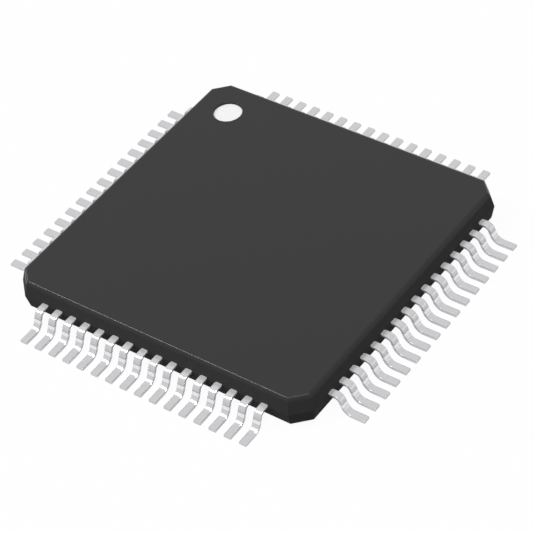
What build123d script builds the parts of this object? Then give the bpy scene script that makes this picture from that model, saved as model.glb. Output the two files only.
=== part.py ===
from build123d import *
import os
from math import radians, sqrt, tan

# A microcontroller in a thin quad flat package: a moulded body with a row of gull-wing leads on each
# of its four sides, and the die, its pad and its bond wires inside.
# The origin is under the middle of the body, on the plane that the feet stand on. +Z points up, and the
# index dimple is in the corner at -X +Y. Sizes are in millimetres, angles in degrees.

# Rows of leads
leads_per_side = 16
lead_pitch = 0.5
row_margin = 1.25  # from the end lead's centre line to the body's side
side_count = 4

# Moulded body
standoff = 0.08  # gap between the body and the plane under the feet
lower_height = 0.45  # from the underside to the parting plane
upper_height = 0.50  # from the parting plane to the top
lower_draft = 12.0
upper_draft = 15.0
corner_chamfer = 0.5  # leg of the chamfer on each vertical corner
top_rounding = 0.12  # radius of the edge round the top
underside_rounding = 0.04

# Index dimple, with its dot of white ink
index_inset = 1.22  # from the body's sides to the dot's centre
index_diameter = 0.86
index_depth = 0.10
index_ink_thickness = 0.03

# Shallow mark that the ejector pin leaves in the middle of the underside
ejector_diameter = 1.2
ejector_depth = 0.03

# Sheet that leads, die pad and tie bars are cut from
sheet_thickness = 0.09

# Gull wings, outside the body
lead_width = 0.235
lead_reach = 1.1  # from the body's side to the tip of the foot
shoulder_reach = 0.30  # from the body's side to the corner between shoulder and leg
leg_lean = 21.5  # from the vertical
shoulder_radius = 0.18  # of the strip's middle line
foot_radius = 0.31
bend_chords = 3  # straight chords that draw one bend, few because there are so many leads

# Inner fingers
root_run = 0.35  # straight length inside the body
tip_width = 0.18
tip_gap = 0.55  # from the die pad to the finger tips
tie_bar_gap = 0.13  # from a tie bar to the end finger's tip

# Die pad and tie bars
pad_width = 5.2
pad_downset = 0.18  # how far the pad lies below the leads
tie_bar_width = 0.25
tie_bar_cover = 0.15  # compound between the end of a tie bar and the body's chamfer
downset_start = 0.25  # from the pad's corner to the tie bar's first bend
downset_run = 0.30  # level length of the sloping part

# Die
die_width = 3.6
die_thickness = 0.25
attach_thickness = 0.02
attach_margin = 0.08  # die attach that shows round the die

# Bond wires
wire_size = 0.025  # across the flats
wire_sides = 6  # flat sides that stand for the round wire, few because there are so many wires
wire_loop_height = 0.12  # from the die to the highest point
bond_inset = 0.12  # from the die's side to the bond
bond_corner_margin = 0.25  # from the die's side to the end wire of a row
stitch_inset = 0.20  # from the finger's tip to the wire's end
stitch_length = 0.10  # of the wire that lies on the finger
wires_per_file = 4
leads_per_file = 2

# Places that follow from the sizes
row_half = (leads_per_side - 1) * lead_pitch / 2
body_half = row_half + row_margin
body_width = 2 * body_half
parting_height = standoff + lower_height
body_top = parting_height + upper_height
foot_height = sheet_thickness / 2
finger_top = parting_height + sheet_thickness / 2
root_distance = body_half - root_run
tip_distance = pad_width / 2 + tip_gap
tip_row_half = tip_distance - tip_width / 2 - sqrt(2) * (tie_bar_width / 2 + tie_bar_gap)
pad_level = parting_height - pad_downset
pad_top = pad_level + sheet_thickness / 2
die_base = pad_top + attach_thickness
die_top = die_base + die_thickness
bond_distance = die_width / 2 - bond_inset
bond_row_half = die_width / 2 - bond_corner_margin


def across(half_span, index):
    """Place of one item of a row that is spread evenly from -half_span to half_span."""
    return half_span * (2 * index / (leads_per_side - 1) - 1)


def onto_side(index):
    """Turn from the +X side, where everything is drawn, to the side that carries a lead."""
    return Rot(0, 0, 180 + 90 * (index // leads_per_side))


def finger_middle(index, distance):
    """Sideways place of an inner finger's centre line at a distance from the package's centre."""
    outer = across(row_half, index)
    inner = across(tip_row_half, index)
    return inner + (outer - inner) * (distance - tip_distance) / (root_distance - tip_distance)


def strip(middle_line, width):
    """Sheet of even width that follows a line in the XZ plane, with mitred corners."""
    start_plane = Plane(origin=middle_line @ 0, x_dir=(0, 1, 0), z_dir=(1, 0, 0))
    section = start_plane * Rectangle(width, sheet_thickness)
    return sweep(section, path=middle_line, transition=Transition.RIGHT)


def in_chords(line):
    """The same line with each of its arcs drawn as a few straight chords."""
    corners = []
    for edge in line.edges():
        steps = bend_chords if edge.geom_type == GeomType.CIRCLE else 1
        corners += [edge @ (step / steps) for step in range(steps)]
    return Polyline(*corners, line @ 1)


def gull_wing(index):
    """Strip from inside the body over the shoulder, down the leg and out along the foot."""
    corner = body_half + shoulder_reach
    heel = corner + (parting_height - foot_height) * tan(radians(leg_lean))
    middle_line = FilletPolyline(
        (root_distance, 0, parting_height),
        (corner, 0, parting_height),
        (heel, 0, foot_height),
        (body_half + lead_reach, 0, foot_height),
        radius=(shoulder_radius, foot_radius),
    )
    return Pos(0, across(row_half, index), 0) * strip(in_chords(middle_line), lead_width)


def inner_finger(index):
    """Flat finger that leads from the gull wing's root towards the die."""
    root = across(row_half, index)
    tip = across(tip_row_half, index)
    outline = Polyline(
        (root_distance, root - lead_width / 2),
        (tip_distance, tip - tip_width / 2),
        (tip_distance, tip + tip_width / 2),
        (root_distance, root + lead_width / 2),
        close=True,
    )
    return Pos(0, 0, finger_top - sheet_thickness) * extrude(make_face(outline), amount=sheet_thickness)


def lead(number):
    """One lead, from the tip of its foot to the tip of its inner finger."""
    index = number % leads_per_side
    return onto_side(number) * (gull_wing(index) + inner_finger(index))


def bond_wire(number):
    """Wire that stands on the die, arches over its side and lies on the tip of an inner finger."""
    index = number % leads_per_side
    end_distance = tip_distance + stitch_inset
    start = Vector(bond_distance, across(bond_row_half, index), die_top)
    rest_height = finger_top + wire_size / 2
    end = Vector(end_distance, finger_middle(index, end_distance), rest_height)
    heading = Vector(end.X - start.X, end.Y - start.Y, 0).normalized()
    route = Polyline(
        start,
        start + Vector(0, 0, wire_loop_height),
        end - heading * stitch_length,
        end,
    )
    flat_side_down = 180 / wire_sides
    polygon = RegularPolygon(wire_size / 2, wire_sides, major_radius=False, rotation=flat_side_down)
    section = Plane(origin=start, x_dir=heading, z_dir=(0, 0, 1)) * polygon
    return onto_side(number) * sweep(section, path=route, transition=Transition.RIGHT)


def tie_bar():
    """Strip from the die pad's corner up to the leads' level, ending just inside the body's chamfer."""
    pad_corner = pad_width / 2 * sqrt(2)
    first_bend = pad_corner + downset_start
    chamfer_distance = (body_width - corner_chamfer) / sqrt(2)
    middle_line = Polyline(
        (pad_corner - tie_bar_width, 0, pad_level),
        (first_bend, 0, pad_level),
        (first_bend + downset_run, 0, parting_height),
        (chamfer_distance - tie_bar_cover, 0, parting_height),
    )
    return Rot(0, 0, 45) * strip(middle_line, tie_bar_width)


def die_pad():
    """Square plate under the die, hung from four tie bars."""
    plate = Pos(0, 0, pad_level) * Box(pad_width, pad_width, sheet_thickness)
    return plate + [Rot(0, 0, 90 * turn) * tie_bar() for turn in range(side_count)]


def die_attach():
    """Layer of silver epoxy that holds the die on its pad."""
    width = die_width + 2 * attach_margin
    return Pos(0, 0, pad_top) * extrude(Rectangle(width, width), amount=attach_thickness)


def silicon_die():
    """The chip itself."""
    return Pos(0, 0, die_base) * extrude(Rectangle(die_width, die_width), amount=die_thickness)


def index_dot():
    """Disc of white ink that fills the bottom of the index dimple."""
    place = Pos(index_inset - body_half, body_half - index_inset, body_top - index_depth)
    return place * extrude(Circle(index_diameter / 2), amount=index_ink_thickness)


def index_dimple():
    """Round hollow that is sunk into the top beside the first lead."""
    place = Pos(index_inset - body_half, body_half - index_inset, body_top - index_depth)
    return place * extrude(Circle(index_diameter / 2), amount=2 * index_depth)


def ejector_mark():
    """Shallow round hollow in the middle of the underside."""
    return Pos(0, 0, standoff - ejector_depth) * extrude(Circle(ejector_diameter / 2), amount=2 * ejector_depth)


def mould_half(height, draft, rounding):
    """Half of the body, drawn upwards from the parting plane to a flat with a rounded edge."""
    outline = chamfer(Rectangle(body_width, body_width).vertices(), corner_chamfer)
    half = extrude(outline, amount=height, taper=draft)
    flat = half.faces().sort_by(Axis.Z)[-1]
    return fillet(flat.edges(), rounding)


def mould_block():
    """Body as it leaves the mould: two drafted halves that meet at the parting plane."""
    upper = mould_half(upper_height, upper_draft, top_rounding)
    lower = mirror(mould_half(lower_height, lower_draft, underside_rounding), about=Plane.XY)
    return Pos(0, 0, parting_height) * (upper + lower)


def moulded_body(embedded):
    """Compound cast round everything that is embedded in it."""
    return mould_block() - index_dimple() - ejector_mark() - embedded


def grouped(pieces, per_file):
    """Consecutive pieces in groups, each with its first and last number, counted from one."""
    for first in range(0, len(pieces), per_file):
        group = pieces[first : first + per_file]
        yield f"{first + 1:02d}_{first + len(group):02d}", Compound(group)


def main():
    """Builds every piece and writes one file for each node."""
    lead_total = leads_per_side * side_count
    leads = [lead(number) for number in range(lead_total)]
    wires = [bond_wire(number) for number in range(lead_total)]
    inner = {"die_pad": die_pad(), "die_attach": die_attach(), "silicon_die": silicon_die()}
    nodes = {
        "moulded_body": moulded_body([*leads, *wires, *inner.values()]),
        "index_dot": index_dot(),
        **inner,
    }
    nodes.update((f"leads_{span}", group) for span, group in grouped(leads, leads_per_file))
    nodes.update((f"bond_wires_{span}", group) for span, group in grouped(wires, wires_per_file))
    os.makedirs("parts", exist_ok=True)
    for name, shape in nodes.items():
        export_step(shape, f"parts/{name}.step")


main()
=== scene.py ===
"""Microcontroller in a thin quad flat package, dressed for its portrait.

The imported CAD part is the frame. The moulded body, the index dot and the 64 leads are drawn again
with their fine rounding, and the pieces inside keep their CAD meshes and get their finishes. Shapes
are drawn in millimetres and turned into metres when a piece is finished.
"""

import logging
import math
from collections.abc import Sequence
from dataclasses import dataclass, field
from enum import Enum

import bmesh
import bpy
from mathutils import Matrix, Vector

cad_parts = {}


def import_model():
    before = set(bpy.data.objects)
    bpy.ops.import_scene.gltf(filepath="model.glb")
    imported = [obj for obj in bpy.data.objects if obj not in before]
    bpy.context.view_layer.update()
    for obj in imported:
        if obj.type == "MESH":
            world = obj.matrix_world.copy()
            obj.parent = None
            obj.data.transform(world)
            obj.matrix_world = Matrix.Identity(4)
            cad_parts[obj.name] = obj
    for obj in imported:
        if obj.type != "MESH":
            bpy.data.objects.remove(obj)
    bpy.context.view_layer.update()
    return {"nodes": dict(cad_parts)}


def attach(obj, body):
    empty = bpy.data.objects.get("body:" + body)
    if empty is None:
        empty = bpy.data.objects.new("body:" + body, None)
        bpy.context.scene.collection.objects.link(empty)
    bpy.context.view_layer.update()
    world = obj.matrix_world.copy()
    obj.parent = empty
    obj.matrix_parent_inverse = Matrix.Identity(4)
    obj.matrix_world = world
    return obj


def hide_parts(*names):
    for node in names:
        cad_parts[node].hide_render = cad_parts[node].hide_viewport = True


MILLIMETRE = 0.001
BODY = "root"
LOG = logging.getLogger("microcontroller")

Colour = tuple[float, float, float]
Pair = tuple[float, float]

# Sizes that several pieces share, in millimetres
BODY_WIDTH = 10.0
PARTING = 0.53  # height of the plane where the two halves of the body meet
INDEX_PLACE: Pair = (-3.78, 3.78)
INDEX_FLOOR = 0.93  # height of the bottom of the index dimple

WHOLE: Pair = (0.0, 1.0)  # the full range of a factor
NOISE_BULK: Pair = (0.3, 0.7)  # where most values of a noise lie
TOUCHING = 1e-4  # distance in millimetres below which two heights or points are one
LEVEL = 1e-3  # sideways part of a normal below which its face is level


def grey(value: float) -> Colour:
    """Neutral colour of one linear value."""
    return (value, value, value)


WHITE = (*grey(1.0), 1.0)


# Building materials


class NodeDesk:
    """A shader's node tree while it is being laid out."""

    def __init__(self, material: bpy.types.Material) -> None:
        """Takes over an empty material and gives it one Principled shader.

        Args:
            material: the material to lay out.
        """
        material.use_nodes = True
        self.tree = material.node_tree
        self.shader = self.tree.nodes["Principled BSDF"]
        self.place = self.add("ShaderNodeTexCoord").outputs["Object"]

    def add(self, kind: str) -> bpy.types.Node:
        """Adds a node of a kind, such as ShaderNodeBump."""
        return self.tree.nodes.new(kind)

    def link(self, source: bpy.types.NodeSocket, target: bpy.types.NodeSocket) -> None:
        """Joins an output to an input."""
        self.tree.links.new(source, target)

    def stretched(self, stretch: Sequence[float]) -> bpy.types.NodeSocket:
        """Object coordinates, scaled for each axis.

        Args:
            stretch: the scale along X, Y and Z.

        Returns:
            The scaled coordinates.
        """
        mapping = self.add("ShaderNodeMapping")
        mapping.inputs["Scale"].default_value = stretch
        self.link(self.place, mapping.inputs["Vector"])
        return mapping.outputs["Vector"]

    def noise(
        self,
        grain: float,
        detail: float = 3.0,
        stretch: Sequence[float] | None = None,
    ) -> bpy.types.NodeSocket:
        """Noise of a real grain size on Object coordinates.

        Args:
            grain: the size of one grain, in millimetres.
            detail: how many finer layers lie on the first.
            stretch: the scale for each axis, if the grain is drawn out.

        Returns:
            The noise, from 0 to 1.
        """
        node = self.add("ShaderNodeTexNoise")
        node.inputs["Scale"].default_value = 1 / (grain * MILLIMETRE)
        node.inputs["Detail"].default_value = detail
        self.link(self.stretched(stretch) if stretch else self.place, node.inputs["Vector"])
        return node.outputs["Fac"]

    def cells(self, grain: float) -> bpy.types.NodeSocket:
        """Distance to the nearest of scattered points, as on a crystalline face.

        Args:
            grain: the size of one cell, in millimetres.

        Returns:
            The distance, 0 in the middle of each cell.
        """
        node = self.add("ShaderNodeTexVoronoi")
        node.inputs["Scale"].default_value = 1 / (grain * MILLIMETRE)
        self.link(self.place, node.inputs["Vector"])
        return node.outputs["Distance"]

    def height(self) -> bpy.types.NodeSocket:
        """Height above the plane under the feet.

        Returns:
            The height, in millimetres.
        """
        axes = self.add("ShaderNodeSeparateXYZ")
        self.link(self.stretched((1 / MILLIMETRE,) * 3), axes.inputs["Vector"])
        return axes.outputs["Z"]

    def band(self, middle: float, reach: float) -> bpy.types.NodeSocket:
        """A level band with a hard edge above and below.

        Args:
            middle: its height, in millimetres.
            reach: how far it reaches up and down.

        Returns:
            1 inside the band and 0 outside it.
        """
        away = self.add("ShaderNodeMath")
        away.operation = "COMPARE"
        away.inputs[1].default_value = middle
        away.inputs[2].default_value = reach
        self.link(self.height(), away.inputs[0])
        return away.outputs["Value"]

    def total(
        self, first: bpy.types.NodeSocket, second: bpy.types.NodeSocket
    ) -> bpy.types.NodeSocket:
        """Adds two values.

        Args:
            first: one of them.
            second: the other.

        Returns:
            Their sum.
        """
        node = self.add("ShaderNodeMath")
        node.operation = "ADD"
        self.link(first, node.inputs[0])
        self.link(second, node.inputs[1])
        return node.outputs["Value"]

    def spread(
        self, value: bpy.types.NodeSocket, source: Pair, target: Pair
    ) -> bpy.types.NodeSocket:
        """Maps a range of a value onto another range.

        Args:
            value: what is mapped.
            source: the range it has.
            target: the range it gets.

        Returns:
            The mapped value, kept inside its range.
        """
        node = self.add("ShaderNodeMapRange")
        node.inputs["From Min"].default_value = source[0]
        node.inputs["From Max"].default_value = source[1]
        node.inputs["To Min"].default_value = target[0]
        node.inputs["To Max"].default_value = target[1]
        self.link(value, node.inputs["Value"])
        return node.outputs["Result"]

    def blend(
        self,
        factor: bpy.types.NodeSocket,
        first: Colour | bpy.types.NodeSocket,
        second: Colour | bpy.types.NodeSocket,
    ) -> bpy.types.NodeSocket:
        """Colour between two colours.

        Args:
            factor: 0 for the first colour and 1 for the second.
            first: the first colour, or a socket that gives it.
            second: the second colour, or a socket that gives it.

        Returns:
            The mixed colour.
        """
        node = self.add("ShaderNodeMix")
        node.data_type = "RGBA"
        self.link(factor, node.inputs["Factor"])
        ends = [socket for socket in node.inputs if socket.type == "RGBA"]
        for end, colour in zip(ends, (first, second)):
            if isinstance(colour, bpy.types.NodeSocket):
                self.link(colour, end)
            else:
                end.default_value = (*colour, 1.0)
        return next(socket for socket in node.outputs if socket.type == "RGBA")

    def colour(self, source: bpy.types.NodeSocket) -> None:
        """Drives the shader's base colour."""
        self.link(source, self.shader.inputs["Base Color"])

    def roughness(self, source: bpy.types.NodeSocket) -> None:
        """Drives the shader's roughness."""
        self.link(source, self.shader.inputs["Roughness"])

    def bump(self, layers: Sequence[tuple[bpy.types.NodeSocket, float]]) -> None:
        """Stacks bumps and gives them to the shader.

        Args:
            layers: each height from 0 to 1, with how high 1 is, in millimetres.
        """
        below = None
        for height, depth in layers:
            node = self.add("ShaderNodeBump")
            node.inputs["Distance"].default_value = depth * MILLIMETRE
            self.link(height, node.inputs["Height"])
            if below:
                self.link(below, node.inputs["Normal"])
            below = node.outputs["Normal"]
        self.link(below, self.shader.inputs["Normal"])


class Finish:
    """A named material that is made once and then shared by the pieces that wear it."""

    slot: str

    def lay_out(self, desk: NodeDesk) -> None:
        """Fills the material's nodes on the desk."""
        raise NotImplementedError

    def material(self) -> bpy.types.Material:
        """The finish's material, made when it is first asked for.

        Returns:
            The material.
        """
        name = f"{self.slot}_finish"
        found = bpy.data.materials.get(name)
        if found is None:
            found = bpy.data.materials.new(name)
            self.lay_out(NodeDesk(found))
        return found


@dataclass(frozen=True)
class MouldingCompound(Finish):
    """Black epoxy filled with silica, with the even matte texture of a spark-eroded mould."""

    slot: str = "moulding_compound"
    dark: Colour = (0.0355, 0.0355, 0.0357)
    pale: Colour = (0.0400, 0.0400, 0.0402)
    filler_grain: float = 0.012
    mould_grain: float = 0.035
    mould_depth: float = 0.0002
    wall_top: Pair = (0.90, 0.93)
    roughness_change: Pair = (0.80, 0.17)
    roughness_spread: float = 0.02
    texture_bulk: Pair = (0.25, 0.75)
    specular: float = 0.125

    def lay_out(self, desk: NodeDesk) -> None:
        """Fine filler in the colour, and the mould's texture in the bump.

        Walls and underside come from a coarser part of the mould than the top and its edge.

        Args:
            desk: where the nodes are laid out.
        """
        desk.shader.inputs["Specular IOR Level"].default_value = self.specular
        filler = desk.noise(self.filler_grain, detail=2.0)
        texture = desk.noise(self.mould_grain, detail=4.0)
        desk.colour(desk.blend(desk.spread(filler, NOISE_BULK, WHOLE), self.dark, self.pale))
        parts = desk.spread(desk.height(), self.wall_top, self.roughness_change)
        either_way = (-self.roughness_spread, self.roughness_spread)
        uneven = desk.spread(texture, self.texture_bulk, either_way)
        desk.roughness(desk.total(parts, uneven))
        desk.bump([(texture, self.mould_depth)])


@dataclass(frozen=True)
class IndexInk(Finish):
    """White ink with a faint orange-peel surface."""

    slot: str = "index_ink"
    thin: Colour = (0.92, 0.92, 0.93)
    full: Colour = (0.97, 0.97, 0.98)
    peel_grain: float = 0.06
    peel_depth: float = 0.0008
    roughness_range: Pair = (0.42, 0.56)

    def lay_out(self, desk: NodeDesk) -> None:
        """Slightly uneven cover of ink.

        Args:
            desk: where the nodes are laid out.
        """
        peel = desk.noise(self.peel_grain, detail=2.0)
        desk.colour(desk.blend(peel, self.thin, self.full))
        desk.roughness(desk.spread(peel, NOISE_BULK, self.roughness_range))
        desk.bump([(peel, self.peel_depth)])


@dataclass(frozen=True)
class TinPlate(Finish):
    """Matte tin over copper, with crystalline grain and the smears that forming leaves."""

    slot: str = "tin_plate"
    dull: Colour = (0.580, 0.580, 0.600)
    clean: Colour = (0.625, 0.625, 0.645)
    # Painted light: the shoulders get this lighter colour to lift the shade from the body's wall
    shoulder_painted_light: Colour = (0.650, 0.650, 0.668)
    shoulder_heights: Pair = (0.50, 0.57)
    metallic_range: Pair = (0.90, 0.20)
    # Painted shade: a dark line across each leg
    painted_shade_line_colour: Colour = (0.400, 0.400, 0.415)
    painted_shade_line_place: Pair = (0.358, 0.012)
    # Painted highlight: a lighter patch on each leg, below the painted shade line
    painted_highlight_colour: Colour = (0.880, 0.880, 0.900)
    painted_highlight_place: Pair = (0.295, 0.050)
    crystal_grain: float = 0.010
    crystal_depth: float = 0.0002
    smear_grain: float = 0.050
    smear_depth: float = 0.0003
    roughness_range: Pair = (0.14, 0.22)

    def lay_out(self, desk: NodeDesk) -> None:
        """Crystals in the bump, smears, painted light on the shoulder and a painted shade line on
        each leg.

        The shoulders stay dull, and their colour is painted lighter against the shade that the
        body's dark wall casts on them. Legs and feet were burnished when they were bent. A painted
        shade line lies across each leg, with a painted highlight patch below it.

        Args:
            desk: where the nodes are laid out.
        """
        smears = desk.noise(self.smear_grain, detail=4.0)
        crystals = desk.cells(self.crystal_grain)
        metallic = desk.spread(desk.height(), self.shoulder_heights, self.metallic_range)
        desk.link(metallic, desk.shader.inputs["Metallic"])
        tone = desk.blend(desk.spread(smears, NOISE_BULK, WHOLE), self.dull, self.clean)
        # Painted highlight patch, then a painted shade line, across each leg
        tone = desk.blend(desk.band(*self.painted_highlight_place), tone, self.painted_highlight_colour)
        tone = desk.blend(desk.band(*self.painted_shade_line_place), tone, self.painted_shade_line_colour)
        # Shoulders painted lighter against the shade of the body's wall
        shoulder = desk.spread(desk.height(), self.shoulder_heights, WHOLE)
        desk.colour(desk.blend(shoulder, tone, self.shoulder_painted_light))
        desk.roughness(desk.spread(smears, NOISE_BULK, self.roughness_range[::-1]))
        desk.bump([(smears, self.smear_depth), (crystals, self.crystal_depth)])


@dataclass(frozen=True)
class LeadFrameCopper(Finish):
    """Rolled copper alloy with a spot of silver plating that has spread unevenly."""

    slot: str = "lead_frame_copper"
    copper: Colour = (0.72, 0.40, 0.26)
    silver: Colour = (0.80, 0.78, 0.74)
    patch_grain: float = 1.4
    patch_edge: Pair = (0.42, 0.60)
    roll_stretch: tuple[float, float, float] = (0.12, 1.0, 1.0)
    roll_grain: float = 0.03
    roll_depth: float = 0.0006
    roughness_range: Pair = (0.22, 0.40)

    def lay_out(self, desk: NodeDesk) -> None:
        """Rolling marks along X and patches of silver.

        Args:
            desk: where the nodes are laid out.
        """
        desk.shader.inputs["Metallic"].default_value = 1.0
        patches = desk.noise(self.patch_grain, detail=2.0)
        marks = desk.noise(self.roll_grain, detail=3.0, stretch=self.roll_stretch)
        plated = desk.spread(patches, self.patch_edge, WHOLE)
        desk.colour(desk.blend(plated, self.copper, self.silver))
        desk.roughness(desk.spread(marks, NOISE_BULK, self.roughness_range))
        desk.bump([(marks, self.roll_depth)])


@dataclass(frozen=True)
class SilverEpoxy(Finish):
    """Die-attach paste: silver flakes in cured epoxy."""

    slot: str = "silver_epoxy"
    resin: Colour = (0.30, 0.29, 0.27)
    flake: Colour = (0.62, 0.61, 0.58)
    flake_grain: float = 0.010
    flake_depth: float = 0.0015
    flake_reach: Pair = (0.0, 0.8)
    metallic: float = 0.5
    roughness_range: Pair = (0.35, 0.65)

    def lay_out(self, desk: NodeDesk) -> None:
        """Flakes scattered in the resin.

        Args:
            desk: where the nodes are laid out.
        """
        desk.shader.inputs["Metallic"].default_value = self.metallic
        flakes = desk.cells(self.flake_grain)
        desk.colour(desk.blend(flakes, self.flake, self.resin))
        desk.roughness(desk.spread(flakes, self.flake_reach, self.roughness_range))
        desk.bump([(flakes, self.flake_depth)])


@dataclass(frozen=True)
class Silicon(Finish):
    """Passivated silicon: a dark blue-grey polish over fine rows of circuit."""

    slot: str = "silicon"
    field_colour: Colour = (0.055, 0.060, 0.085)
    circuit_colour: Colour = (0.150, 0.135, 0.150)
    row_grain: float = 0.05
    row_stretch: tuple[float, float, float] = (0.25, 1.0, 1.0)
    row_edge: Pair = (0.45, 0.55)
    coat: float = 0.6
    roughness_range: Pair = (0.10, 0.24)

    def lay_out(self, desk: NodeDesk) -> None:
        """Rows drawn out along X under a glassy coat.

        Args:
            desk: where the nodes are laid out.
        """
        desk.shader.inputs["Coat Weight"].default_value = self.coat
        rows = desk.noise(self.row_grain, detail=5.0, stretch=self.row_stretch)
        circuit = desk.spread(rows, self.row_edge, WHOLE)
        desk.colour(desk.blend(circuit, self.field_colour, self.circuit_colour))
        desk.roughness(desk.spread(rows, NOISE_BULK, self.roughness_range))


@dataclass(frozen=True)
class BondWireGold(Finish):
    """Drawn gold wire with faint die lines along it."""

    slot: str = "bond_wire_gold"
    deep: Colour = (0.86, 0.58, 0.22)
    bright: Colour = (0.95, 0.70, 0.32)
    line_grain: float = 0.02
    roughness_range: Pair = (0.16, 0.28)

    def lay_out(self, desk: NodeDesk) -> None:
        """Lines in colour and roughness.

        Args:
            desk: where the nodes are laid out.
        """
        desk.shader.inputs["Metallic"].default_value = 1.0
        lines = desk.noise(self.line_grain, detail=2.0)
        desk.colour(desk.blend(lines, self.deep, self.bright))
        desk.roughness(desk.spread(lines, NOISE_BULK, self.roughness_range))


# Drawing shapes


def of_kind(geometry: Sequence, kind: type) -> list:
    """The items of one bmesh type among what an operator gave back."""
    return [item for item in geometry if isinstance(item, kind)]


def lathe(mesh: bmesh.types.BMesh, profile: Sequence[tuple[float, float]], steps: int) -> None:
    """Turns a profile round the Z axis into a closed body.

    Args:
        mesh: where the body is drawn.
        profile: radius and height of each point, from the axis round to the axis.
        steps: how many steps make the full turn.
    """
    points = [mesh.verts.new((radius, 0, height)) for radius, height in profile]
    edges = [mesh.edges.new(pair) for pair in zip(points, points[1:])]
    bmesh.ops.spin(
        mesh,
        geom=points + edges,
        cent=(0, 0, 0),
        axis=(0, 0, 1),
        dvec=(0, 0, 0),
        angle=math.tau,
        steps=steps,
        use_merge=True,
        use_normal_flip=False,
        use_duplicate=False,
    )
    bmesh.ops.remove_doubles(mesh, verts=mesh.verts, dist=TOUCHING)
    bmesh.ops.recalc_face_normals(mesh, faces=mesh.faces)


class BevelOf(Enum):
    """What a bevel takes the sharpness off."""

    EDGES = "EDGES"
    CORNERS = "VERTICES"


def bevelled(
    mesh: bmesh.types.BMesh,
    sharp: Sequence,
    offset: float,
    segments: int,
    kind: BevelOf = BevelOf.EDGES,
) -> None:
    """Cuts or rounds what is sharp.

    Args:
        mesh: the mesh it belongs to.
        sharp: the edges or the corners.
        offset: how far the cut reaches in, in millimetres.
        segments: how many strips draw it, 1 for a flat cut.
        kind: which of the two they are.
    """
    bmesh.ops.bevel(
        mesh,
        geom=list(sharp),
        offset=offset,
        offset_type="OFFSET",
        segments=segments,
        profile=0.5,
        affect=kind.value,
        clamp_overlap=True,
        material=-1,
    )


def linked(name: str, mesh: bmesh.types.BMesh) -> bpy.types.Object:
    """Puts a drawing into an object of the scene, as it is.

    Args:
        name: the object's name.
        mesh: the drawing, which is freed.

    Returns:
        The object.
    """
    data = bpy.data.meshes.new(name)
    mesh.to_mesh(data)
    mesh.free()
    made = bpy.data.objects.new(name, data)
    bpy.context.scene.collection.objects.link(made)
    return made


def as_object(name: str, mesh: bmesh.types.BMesh, crease: float) -> bpy.types.Object:
    """Turns a drawing in millimetres into a smooth object in metres.

    Args:
        name: the piece's name.
        mesh: the drawing, which is freed.
        crease: the angle between faces from which an edge stays sharp, in degrees.

    Returns:
        The object, at the origin, unturned and unscaled.
    """
    bmesh.ops.scale(mesh, vec=(MILLIMETRE,) * 3, verts=mesh.verts)
    for face in mesh.faces:
        face.smooth = True
    for edge in mesh.edges:
        edge.smooth = edge.smooth and edge.calc_face_angle(0.0) < math.radians(crease)
    return linked(name, mesh)


def dressed(piece: bpy.types.Object, finish: Finish, node: str) -> None:
    """Gives a drawn piece its finish and its place in the frame.

    Args:
        piece: the piece.
        finish: what it wears.
        node: the CAD node that it stands for.
    """
    piece.data.materials.append(finish.material())
    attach(piece, BODY)
    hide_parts(node)
    LOG.info("%s stands for %s: %d faces", piece.name, node, len(piece.data.polygons))


# The moulded body and its dot


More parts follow.
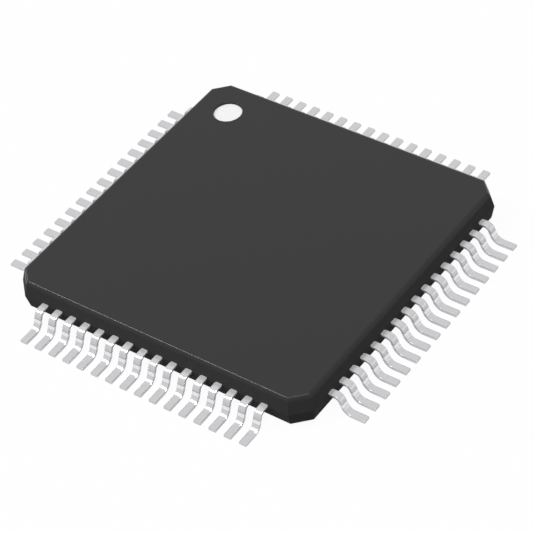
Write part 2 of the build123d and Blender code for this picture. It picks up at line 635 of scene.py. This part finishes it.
@dataclass
class MouldedBody:
    """Two drafted halves that meet at the parting plane, and their two round hollows.

    Sizes are in millimetres, angles in degrees. An edge is sharp where its faces differ by more
    than the crease, or head for sides that differ by more than the mitre.
    """

    width: float = BODY_WIDTH
    underside: float = 0.08
    parting: float = PARTING
    top: float = 1.03
    upper_draft: float = 15.0
    lower_draft: float = 12.0
    corner_leg: float = 0.5
    top_rounding: float = 0.12
    underside_rounding: float = 0.04
    edge_strips: int = 8
    corner_reach: float = 0.012
    corner_strips: int = 2
    dimple_place: Pair = INDEX_PLACE
    dimple_floor: float = INDEX_FLOOR
    dimple_radius: float = 0.43
    ejector_radius: float = 0.60
    ejector_depth: float = 0.03
    rim_round: float = 0.03
    rim_strips: int = 8
    round_steps: int = 96
    crease: float = 12.0
    mitre: float = 10.0
    finish: MouldingCompound = field(default_factory=MouldingCompound)

    def outline(self, mesh: bmesh.types.BMesh) -> bmesh.types.BMFace:
        """Square with its corners cut, in the parting plane.

        Args:
            mesh: where it is drawn.

        Returns:
            Its face, looking up.
        """
        square = bmesh.ops.create_grid(mesh, x_segments=1, y_segments=1, size=self.width / 2)
        bmesh.ops.translate(mesh, vec=(0, 0, self.parting), verts=square["verts"])
        bevelled(mesh, square["verts"], self.corner_leg, 1, BevelOf.CORNERS)
        mesh.faces.ensure_lookup_table()
        return mesh.faces[-1]

    def half(self, mesh: bmesh.types.BMesh, height: float, draft: float, upward: bool) -> None:
        """Raises one half from the parting plane.

        Args:
            mesh: where it is drawn.
            height: how far its flat lies from the parting plane.
            draft: how far its walls lean in, in degrees.
            upward: whether it is the upper half.
        """
        face = self.outline(mesh)
        if not upward:
            bmesh.ops.reverse_faces(mesh, faces=[face])
        face.normal_update()
        bmesh.ops.inset_region(
            mesh,
            faces=[face],
            thickness=height * math.tan(math.radians(draft)),
            depth=height,
            use_boundary=True,
            use_even_offset=True,
        )

    def block(self) -> bpy.types.Object:
        """Both halves in one piece, with their edges rounded.

        Returns:
            The block, still in millimetres.
        """
        mesh = bmesh.new()
        self.half(mesh, self.top - self.parting, self.upper_draft, upward=True)
        self.half(mesh, self.parting - self.underside, self.lower_draft, upward=False)
        bmesh.ops.remove_doubles(mesh, verts=mesh.verts, dist=TOUCHING)
        self.soften(mesh, self.top, self.upper_draft, self.top_rounding)
        self.soften(mesh, self.underside, self.lower_draft, self.underside_rounding)
        corners = []
        for edge in mesh.edges:
            start, end = edge.verts
            if abs(start.co.z - end.co.z) > TOUCHING:
                corners.append(edge)
        bevelled(mesh, corners, self.corner_reach, self.corner_strips)
        bmesh.ops.recalc_face_normals(mesh, faces=mesh.faces)
        return linked("mould_block", mesh)

    def soften(self, mesh: bmesh.types.BMesh, level: float, draft: float, radius: float) -> None:
        """Rounds the edges that lie round one of the two flats.

        Args:
            mesh: the block.
            level: the height of the flat.
            draft: how far the walls beside it lean in, in degrees.
            radius: of the rounding.
        """
        edges = [
            edge
            for edge in mesh.edges
            if all(abs(vertex.co.z - level) < TOUCHING for vertex in edge.verts)
        ]
        reach = radius * math.tan(math.radians(90 - draft) / 2)
        bevelled(mesh, edges, reach, self.edge_strips)

    def hollow(self, radius: float, floor: float, mouth: float, place: Pair) -> bpy.types.Object:
        """Round tool that leaves a hollow with a softened floor and rim.

        Args:
            radius: of the hollow.
            floor: the height of its floor.
            mouth: the height of the flat that it is sunk into.
            place: its centre.

        Returns:
            The tool, in millimetres.
        """
        way = math.copysign(1.0, mouth - floor)
        soft = min(self.rim_round, abs(mouth - floor) / 2)
        turns = [math.radians(90 * step / self.rim_strips) for step in range(self.rim_strips + 1)]
        rim = [(soft - soft * math.cos(turn), soft - soft * math.sin(turn)) for turn in turns]
        profile = [
            (0.0, floor),
            (radius, floor),
            *((radius + out, mouth - down * way) for out, down in rim),
            (radius + soft, mouth + soft * way),
            (0.0, mouth + soft * way),
        ]
        mesh = bmesh.new()
        lathe(mesh, profile, self.round_steps)
        bmesh.ops.translate(mesh, vec=(*place, 0), verts=mesh.verts)
        return linked("hollow_tool", mesh)

    def keep_mitres(self, mesh: bmesh.types.BMesh) -> None:
        """Keeps an edge sharp where the faces beside it head for different sides.

        Args:
            mesh: the whole body.
        """
        mesh.normal_update()
        for edge in mesh.edges:
            headings = [face.normal.xy for face in edge.link_faces]
            if len(headings) == 2 and all(heading.length > LEVEL for heading in headings):
                edge.smooth = headings[0].angle(headings[1]) < math.radians(self.mitre)

    def build(self) -> None:
        """Sinks the hollows into the block and dresses it."""
        block = self.block()
        ejector_floor = self.underside + self.ejector_depth
        tools = [
            self.hollow(self.dimple_radius, self.dimple_floor, self.top, self.dimple_place),
            self.hollow(self.ejector_radius, ejector_floor, self.underside, (0.0, 0.0)),
        ]
        for tool in tools:
            cut = block.modifiers.new("Hollow", "BOOLEAN")
            cut.operation = "DIFFERENCE"
            cut.solver = "EXACT"
            cut.object = tool
        carved = block.evaluated_get(bpy.context.evaluated_depsgraph_get())
        mesh = bmesh.new()
        mesh.from_mesh(carved.to_mesh())
        carved.to_mesh_clear()
        for spare in (block, *tools):
            bpy.data.objects.remove(spare)
        self.keep_mitres(mesh)
        body = as_object("compound_body", mesh, self.crease)
        dressed(body, self.finish, "moulded_body")
        flats = body.modifiers.new("Even flats", "WEIGHTED_NORMAL")
        flats.keep_sharp = True


@dataclass
class IndexDot:
    """Ink that fills the bottom of the dimple and creeps up its wall.

    Sizes are in millimetres, the crease in degrees. The knee gives shares of the creep's reach and
    height.
    """

    place: Pair = INDEX_PLACE
    radius: float = 0.429
    floor: float = INDEX_FLOOR
    thickness: float = 0.027
    lower_chamfer: float = 0.006
    creep: float = 0.003
    creep_reach: float = 0.03
    creep_knee: Pair = (0.4, 0.3)
    steps: int = 96
    crease: float = 35.0
    finish: IndexInk = field(default_factory=IndexInk)

    def build(self) -> None:
        """Turns the dot's profile round its own axis. Its face rises to the wall with one knee."""
        face = self.floor + self.thickness
        knee_in, knee_up = self.creep_knee
        profile = [
            (0.0, self.floor),
            (self.radius - self.lower_chamfer, self.floor),
            (self.radius, self.floor + self.lower_chamfer),
            (self.radius, face + self.creep),
            (self.radius - knee_in * self.creep_reach, face + knee_up * self.creep),
            (self.radius - self.creep_reach, face),
            (0.0, face),
        ]
        mesh = bmesh.new()
        lathe(mesh, profile, self.steps)
        bmesh.ops.translate(mesh, vec=(*self.place, 0), verts=mesh.verts)
        dressed(as_object("ink_dot", mesh, self.crease), self.finish, "index_dot")


# The leads


class Row(Enum):
    """The four rows in the order of the numbering, with their turns from the +X side in degrees."""

    LEFT = 180
    FRONT = 270
    RIGHT = 0
    BACK = 90

    @property
    def turn(self) -> Matrix:
        """The turn that carries a lead drawn on the +X side into this row."""
        return Matrix.Rotation(math.radians(self.value), 4, "Z")


class Strip:
    """A strip with rounded edges that is drawn ring by ring along its route."""

    def __init__(
        self,
        mesh: bmesh.types.BMesh,
        width: float,
        thickness: float,
        rounding: float,
        segments: int,
    ) -> None:
        """Draws the first ring at the origin, across the X axis.

        Args:
            mesh: where the strip is drawn, still empty.
            width: of the strip.
            thickness: of the strip.
            rounding: radius of its four long edges.
            segments: how many strips draw one of them.
        """
        self.mesh = mesh
        grid = bmesh.ops.create_grid(mesh, x_segments=1, y_segments=1, size=1 / 2)
        bmesh.ops.scale(mesh, vec=(width, thickness, 1), verts=grid["verts"])
        bevelled(mesh, grid["verts"], rounding, segments, BevelOf.CORNERS)
        face = next(iter(mesh.faces))
        self.ring = list(face.edges)
        bmesh.ops.delete(mesh, geom=[face], context="FACES_ONLY")
        upright = Matrix(((0, 0, 1, 0), (1, 0, 0, 0), (0, 1, 0, 0), (0, 0, 0, 1)))
        bmesh.ops.transform(mesh, matrix=upright, verts=self.points())
        self.first = list(self.ring)

    def points(self) -> list[bmesh.types.BMVert]:
        """The vertices of the last ring, each of them once."""
        return list(dict.fromkeys(vertex for edge in self.ring for vertex in edge.verts))

    def shift(self, offset: Sequence[float]) -> None:
        """Moves the last ring."""
        bmesh.ops.translate(self.mesh, vec=offset, verts=self.points())

    def run(self, offset: Sequence[float], widen: float = 1.0) -> None:
        """Draws the strip straight on.

        Args:
            offset: from the last ring to the next.
            widen: how much wider the next ring is.
        """
        made = bmesh.ops.extrude_edge_only(self.mesh, edges=self.ring)
        fresh = set(of_kind(made["geom"], bmesh.types.BMVert))
        self.ring = [
            edge
            for edge in of_kind(made["geom"], bmesh.types.BMEdge)
            if edge.verts[0] in fresh and edge.verts[1] in fresh
        ]
        points = self.points()
        middle = sum((point.co for point in points), Vector()) / len(points)
        about_middle = Matrix.Translation(-middle)
        bmesh.ops.scale(self.mesh, vec=(1, widen, 1), space=about_middle, verts=points)
        self.shift(offset)

    def bend(self, centre: Sequence[float], angle: float, steps: int) -> None:
        """Draws the strip round a bend.

        Args:
            centre: a point on the bend's axis, which is parallel to Y.
            angle: of the bend, in degrees, downwards if positive.
            steps: how many rings draw it.
        """
        made = bmesh.ops.spin(
            self.mesh,
            geom=self.ring + self.points(),
            cent=centre,
            axis=(0, 1, 0),
            dvec=(0, 0, 0),
            angle=math.radians(angle),
            steps=steps,
            use_merge=False,
            use_normal_flip=False,
            use_duplicate=False,
        )
        self.ring = of_kind(made["geom_last"], bmesh.types.BMEdge)

    def close(self, tip_round: float, segments: int) -> None:
        """Caps both ends and rounds the rim of the last.

        Args:
            tip_round: how far the rounding reaches in.
            segments: how many strips draw it.
        """
        bmesh.ops.contextual_create(self.mesh, geom=self.first)
        made = bmesh.ops.contextual_create(self.mesh, geom=self.ring)
        bevelled(self.mesh, made["faces"][0].edges, tip_round, segments)


@dataclass
class LeadFrame:
    """The 64 leads, from the tips of their inner fingers to the tips of their feet.

    Sizes are in millimetres, angles in degrees. The flare gives places along the lead, measured
    from the body's side, with the share of the full width that it has there.
    """

    per_side: int = 16
    per_piece: int = 2
    pitch: float = 0.5
    body_half: float = BODY_WIDTH / 2
    parting: float = PARTING
    thickness: float = 0.09
    width: float = 0.235
    edge_round: float = 0.016
    edge_strips: int = 2
    reach: float = 1.1
    shoulder_reach: float = 0.30
    leg_lean: float = 21.5
    shoulder_radius: float = 0.18
    foot_radius: float = 0.31
    bend_steps: int = 9
    root_run: float = 0.35
    tip_distance: float = 3.15
    tip_width: float = 0.18
    tip_row_half: float = 2.6994
    tip_round: float = 0.012
    tip_strips: int = 3
    crease: float = 12.0
    root_flare: tuple[Pair, ...] = ((-0.015, 0.80), (0.0, 0.89), (0.015, 0.96), (0.04, 1.0))
    finish: TinPlate = field(default_factory=TinPlate)

    def gull_wing(self, strip: Strip, reached: float, side: float) -> None:
        """Draws shoulder, leg and foot on the +X side.

        Args:
            strip: the lead, drawn to just outside the body.
            reached: how far along X that is.
            side: the lead's place along Y.
        """
        turn = 90 - self.leg_lean
        foot = self.thickness / 2
        corner = self.body_half + self.shoulder_reach
        heel = corner + (self.parting - foot) * math.tan(math.radians(self.leg_lean))
        way = Vector((math.cos(math.radians(turn)), 0, -math.sin(math.radians(turn))))
        shoulder_cut = self.shoulder_radius * math.tan(math.radians(turn / 2))
        foot_cut = self.foot_radius * math.tan(math.radians(turn / 2))
        leg = (self.parting - foot) / -way.z - shoulder_cut - foot_cut
        bend_start = corner - shoulder_cut
        foot_end = heel + foot_cut
        shoulder_axis = (bend_start, side, self.parting - self.shoulder_radius)
        foot_axis = (foot_end, side, foot + self.foot_radius)

        strip.run((bend_start - reached, 0, 0))
        strip.bend(shoulder_axis, turn, self.bend_steps)
        strip.run(way * leg)
        strip.bend(foot_axis, -turn, self.bend_steps)
        strip.run((self.body_half + self.reach - foot_end, 0, 0))

    def draw(self, mesh: bmesh.types.BMesh, number: int) -> None:
        """Draws one lead in its row.

        Args:
            mesh: where it is drawn.
            number: from 0, anticlockwise from the index dot.
        """
        place = 2 * (number % self.per_side) / (self.per_side - 1) - 1
        outer = place * (self.per_side - 1) * self.pitch / 2
        inner = place * self.tip_row_half
        root = self.body_half - self.root_run

        fresh = bmesh.new()
        strip = Strip(fresh, self.tip_width, self.thickness, self.edge_round, self.edge_strips)
        strip.shift((self.tip_distance, inner, self.parting))
        share = self.root_flare[0][1]
        widening = share * self.width / self.tip_width
        strip.run((root - self.tip_distance, outer - inner, 0), widening)
        reached = root
        for offset, part in self.root_flare:
            strip.run((self.body_half + offset - reached, 0, 0), part / share)
            reached, share = self.body_half + offset, part
        self.gull_wing(strip, reached, outer)
        strip.close(self.tip_round, self.tip_strips)
        bmesh.ops.recalc_face_normals(fresh, faces=fresh.faces)
        row = list(Row)[number // self.per_side]
        bmesh.ops.transform(fresh, matrix=row.turn, verts=fresh.verts)
        drawing = bpy.data.meshes.new("lead_drawing")
        fresh.to_mesh(drawing)
        fresh.free()
        mesh.from_mesh(drawing)
        bpy.data.meshes.remove(drawing)

    def build(self) -> None:
        """Draws all leads, in the groups that the CAD nodes have."""
        for first in range(0, self.per_side * len(Row), self.per_piece):
            span = f"{first + 1:02d}_{first + self.per_piece:02d}"
            mesh = bmesh.new()
            for number in range(first, first + self.per_piece):
                self.draw(mesh, number)
            piece = as_object(f"gull_wings_{span}", mesh, self.crease)
            dressed(piece, self.finish, f"leads_{span}")


# The pieces inside, which keep their CAD meshes


@dataclass
class Inside:
    """Finishes of the CAD nodes that the compound hides."""

    finishes: dict[str, Finish] = field(
        default_factory=lambda: {
            "die_pad": LeadFrameCopper(),
            "die_attach": SilverEpoxy(),
            "silicon_die": Silicon(),
            "bond_wires": BondWireGold(),
        }
    )

    def build(self, nodes: dict[str, bpy.types.Object]) -> None:
        """Dresses every node whose name begins with a known word.

        Args:
            nodes: the CAD nodes by name.
        """
        for start, finish in self.finishes.items():
            members = [node for name, node in nodes.items() if name.startswith(start)]
            for node in members:
                node.data.materials.clear()
                node.data.materials.append(finish.material())
            LOG.info("%s dresses %d nodes named %s", finish.slot, len(members), start)


# The studio


class Looks(Enum):
    """Kinds of light path that look at the background itself."""

    CAMERA = "Is Camera Ray"
    GLOSSY = "Is Glossy Ray"
    TRANSMISSION = "Is Transmission Ray"


def looked_at(tree: bpy.types.NodeTree, shares: dict[Looks, float]) -> bpy.types.NodeSocket:
    """A share for each kind of ray that looks at the background, and 0 for all others.

    Those others gather soft light.

    Args:
        tree: the tree that needs it.
        shares: what each kind of ray gets.

    Returns:
        The share.
    """
    path = tree.nodes.new("ShaderNodeLightPath")
    total = None
    for kind, share in shares.items():
        part = tree.nodes.new("ShaderNodeMath")
        part.operation = "MULTIPLY_ADD"
        part.inputs[1].default_value = share
        part.inputs[2].default_value = 0.0
        tree.links.new(path.outputs[kind.value], part.inputs[0])
        if total:
            tree.links.new(total, part.inputs[2])
        total = part.outputs[0]
    return total


@dataclass
class SoftBox:
    """A rectangular lamp that faces the part, with its width along the X axis. Sizes in metres."""

    name: str
    direction: tuple[float, float, float]
    width: float
    height: float
    radiance: float
    distance: float = 1.2

    def build(self) -> None:
        """Hangs the lamp. Its power follows from how bright its face is."""
        data = bpy.data.lights.new(self.name, "AREA")
        data.shape = "RECTANGLE"
        data.size = self.width
        data.size_y = self.height
        data.energy = self.radiance * math.pi * self.width * self.height
        lamp = bpy.data.objects.new(self.name, data)
        bpy.context.scene.collection.objects.link(lamp)
        toward = Vector(self.direction).normalized()
        along = Vector((1, 0, 0)).cross(toward).cross(toward).normalized()
        axes = Matrix((-along, toward.cross(-along), toward)).transposed()
        lamp.location = toward * self.distance
        lamp.rotation_mode = "QUATERNION"
        lamp.rotation_quaternion = axes.to_quaternion()
        LOG.info("soft box %s", self.name)


@dataclass
class Studio:
    """White floor and surroundings, and the soft boxes. Sizes in metres."""

    fill: float = 0.30
    floor_half: float = 2.0
    floor_roughness: float = 0.9
    floor_paint: Colour = grey(0.90)
    floor_bounce: Colour = grey(0.20)
    floor_shown: dict[Looks, float] = field(
        default_factory=lambda: {Looks.CAMERA: 0.95, Looks.GLOSSY: 0.40, Looks.TRANSMISSION: 0.40}
    )
    boxes: tuple[SoftBox, ...] = (
        SoftBox("overhead", (0.12, -0.20, 0.97), width=0.22, height=0.22, radiance=42.0),
        SoftBox("front_left", (-0.50, -0.39, 0.77), width=0.26, height=0.14, radiance=36.0),
        SoftBox("low_left", (-0.95, 0.08, 0.25), width=0.25, height=0.25, radiance=3.0),
        SoftBox("low_right", (0.83, 0.55, 0.10), width=0.4, height=0.4, radiance=0.3),
    )

    def world(self) -> None:
        """Soft light from all round, seen as plain white."""
        world = bpy.data.worlds.new("studio")
        world.use_nodes = True
        tree = world.node_tree
        background = tree.nodes["Background"]
        background.inputs["Color"].default_value = WHITE
        strength = tree.nodes.new("ShaderNodeMapRange")
        strength.inputs["To Min"].default_value = self.fill
        strength.inputs["To Max"].default_value = 1.0
        tree.links.new(looked_at(tree, dict.fromkeys(Looks, 1.0)), strength.inputs["Value"])
        tree.links.new(strength.outputs["Result"], background.inputs["Strength"])
        bpy.context.scene.world = world

    def floor(self) -> None:
        """Pale floor that shows white and keeps a faint shadow."""
        mesh = bmesh.new()
        bmesh.ops.create_grid(mesh, x_segments=1, y_segments=1, size=self.floor_half)
        floor = linked("floor", mesh)
        material = bpy.data.materials.new("floor_white")
        desk = NodeDesk(material)
        desk.shader.inputs["Roughness"].default_value = self.floor_roughness
        desk.shader.inputs["Specular IOR Level"].default_value = 0.0
        seen = looked_at(desk.tree, dict.fromkeys(Looks, 1.0))
        desk.colour(desk.blend(seen, self.floor_bounce, self.floor_paint))
        glow = desk.add("ShaderNodeEmission")
        glow.inputs["Color"].default_value = WHITE
        mix = desk.add("ShaderNodeMixShader")
        desk.link(looked_at(desk.tree, self.floor_shown), mix.inputs["Fac"])
        desk.link(desk.shader.outputs["BSDF"], mix.inputs[1])
        desk.link(glow.outputs["Emission"], mix.inputs[2])
        desk.link(mix.outputs["Shader"], desk.tree.nodes["Material Output"].inputs["Surface"])
        floor.data.materials.append(material)

    def build(self) -> None:
        """Sets up surroundings, floor and lamps."""
        self.world()
        self.floor()
        for box in self.boxes:
            box.build()
        bpy.context.scene.view_settings.view_transform = "Standard"
        LOG.info("studio with %d soft boxes", len(self.boxes))


@dataclass
class PhotoCamera:
    """The camera that took the photograph. Lengths in millimetres, angles in degrees."""

    azimuth: float = 40.9027
    elevation: float = 43.4034
    roll: float = 8.0459
    distance: float = 65.0438
    target: tuple[float, float, float] = (0.3779, -0.2628, 0.0)
    lens: float = 155.806
    sensor: float = 36.0
    nearest: float = 1.0
    farthest: float = 20000.0

    def build(self) -> None:
        """Places the camera and makes it the scene's."""
        around = math.radians(self.azimuth)
        above = math.radians(self.elevation)
        tilt = math.radians(self.roll)
        back = Vector(
            (
                math.sin(around) * math.cos(above),
                -math.cos(around) * math.cos(above),
                math.sin(above),
            )
        )
        level = Vector((math.cos(around), math.sin(around), 0))
        up = back.cross(level)
        right = math.cos(tilt) * level - math.sin(tilt) * up
        rise = math.sin(tilt) * level + math.cos(tilt) * up
        data = bpy.data.cameras.new("photo_camera")
        data.lens = self.lens
        data.sensor_width = self.sensor
        data.clip_start = self.nearest * MILLIMETRE
        data.clip_end = self.farthest * MILLIMETRE
        camera = bpy.data.objects.new("photo_camera", data)
        bpy.context.scene.collection.objects.link(camera)
        place = (Vector(self.target) + back * self.distance) * MILLIMETRE
        axes = Matrix((right, rise, back)).transposed().to_4x4()
        camera.matrix_world = Matrix.Translation(place) @ axes
        bpy.context.scene.camera = camera
        LOG.info("camera %.1f mm from the part", self.distance)


def main() -> None:
    """Builds the part, the studio and the camera in order."""
    logging.basicConfig(level=logging.INFO, format="%(message)s")
    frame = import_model()
    MouldedBody().build()
    IndexDot().build()
    LeadFrame().build()
    Inside().build(frame["nodes"])
    Studio().build()
    PhotoCamera().build()


if __name__ == "__main__":
    main()
